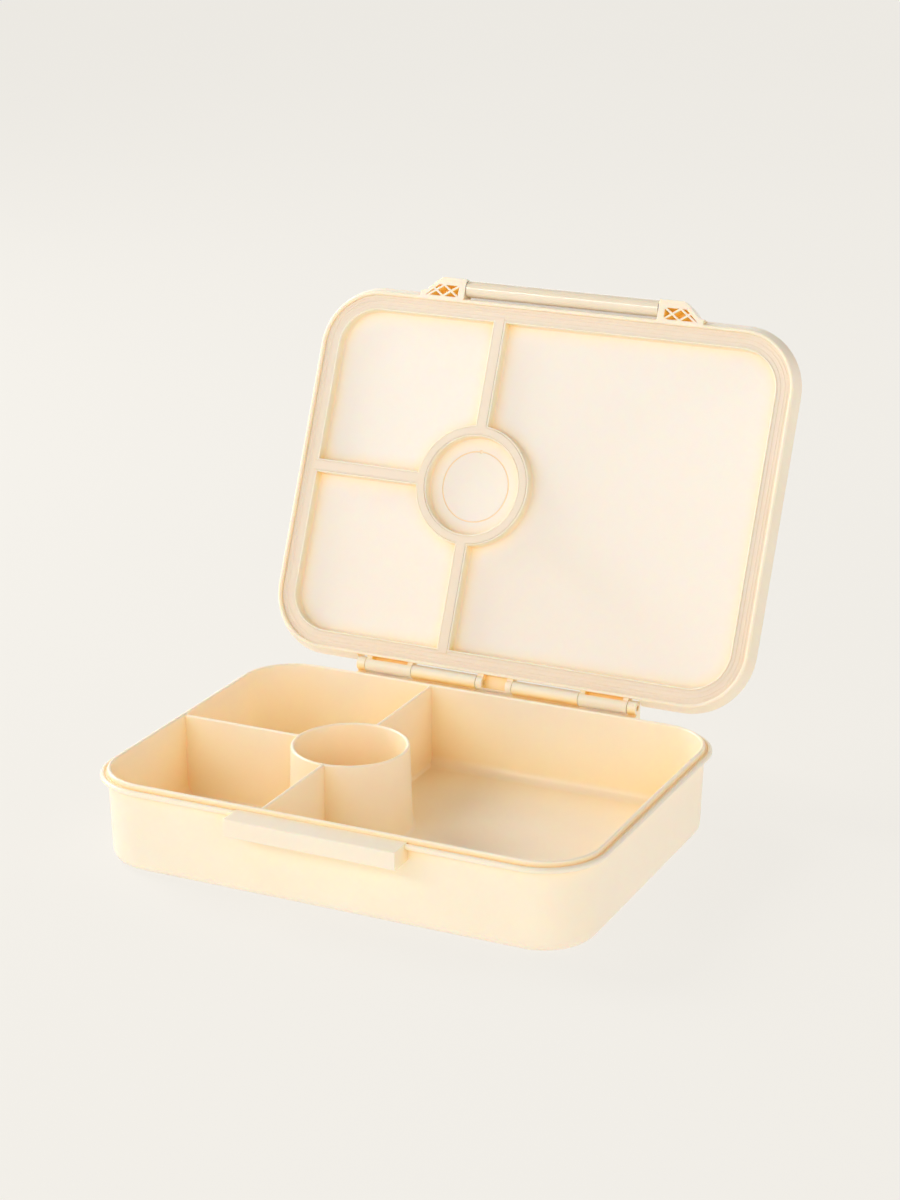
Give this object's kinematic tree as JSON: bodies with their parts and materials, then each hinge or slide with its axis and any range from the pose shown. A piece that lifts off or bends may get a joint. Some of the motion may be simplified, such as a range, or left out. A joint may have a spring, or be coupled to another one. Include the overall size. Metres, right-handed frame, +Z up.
{
  "type": "bento lunch box",
  "caption": "Shallow rounded lunch box with moulded compartments and a round dip well, a hinged lid with a silicone seal, and a snap-over front latch.",
  "frame": {"origin": "centre of the flat underside of the base, on the table", "axes": "+X to the right of someone facing the latch, +Y from the latch towards the hinge, +Z up out of the box. The lid is stored open on its stop, with the latch folded back behind it."},
  "size_m": [0.2266, 0.2564, 0.2006],
  "materials": {
    "base": "satin moulded polypropylene",
    "lid": "fine matt moulded polypropylene, glossier along its edge",
    "seal": "matt silicone",
    "latch": "semi-gloss moulded polypropylene",
    "pin": "drawn steel wire"
  },
  "bodies": {
    "base": {"base_box": "base", "hinge_pin_left": "pin", "hinge_pin_right": "pin"},
    "lid": {"lid_shell": "lid", "lid_seal": "seal", "latch_pin": "pin"},
    "latch": {"front_latch": "latch"}
  },
  "joints": [
    {"name": "lid_hinge", "type": "hinge", "parent": "base", "child": "lid", "pos_m": [0, 0.0843, 0.0398], "axis": [1, 0, 0], "range_deg": [0, 113.6]},
    {"name": "latch_pivot", "type": "hinge", "parent": "lid", "child": "latch", "pos_m": [0, 0.15352, 0.19573], "axis": [1, 0, 0], "range_deg": [0, 180]}
  ]
}
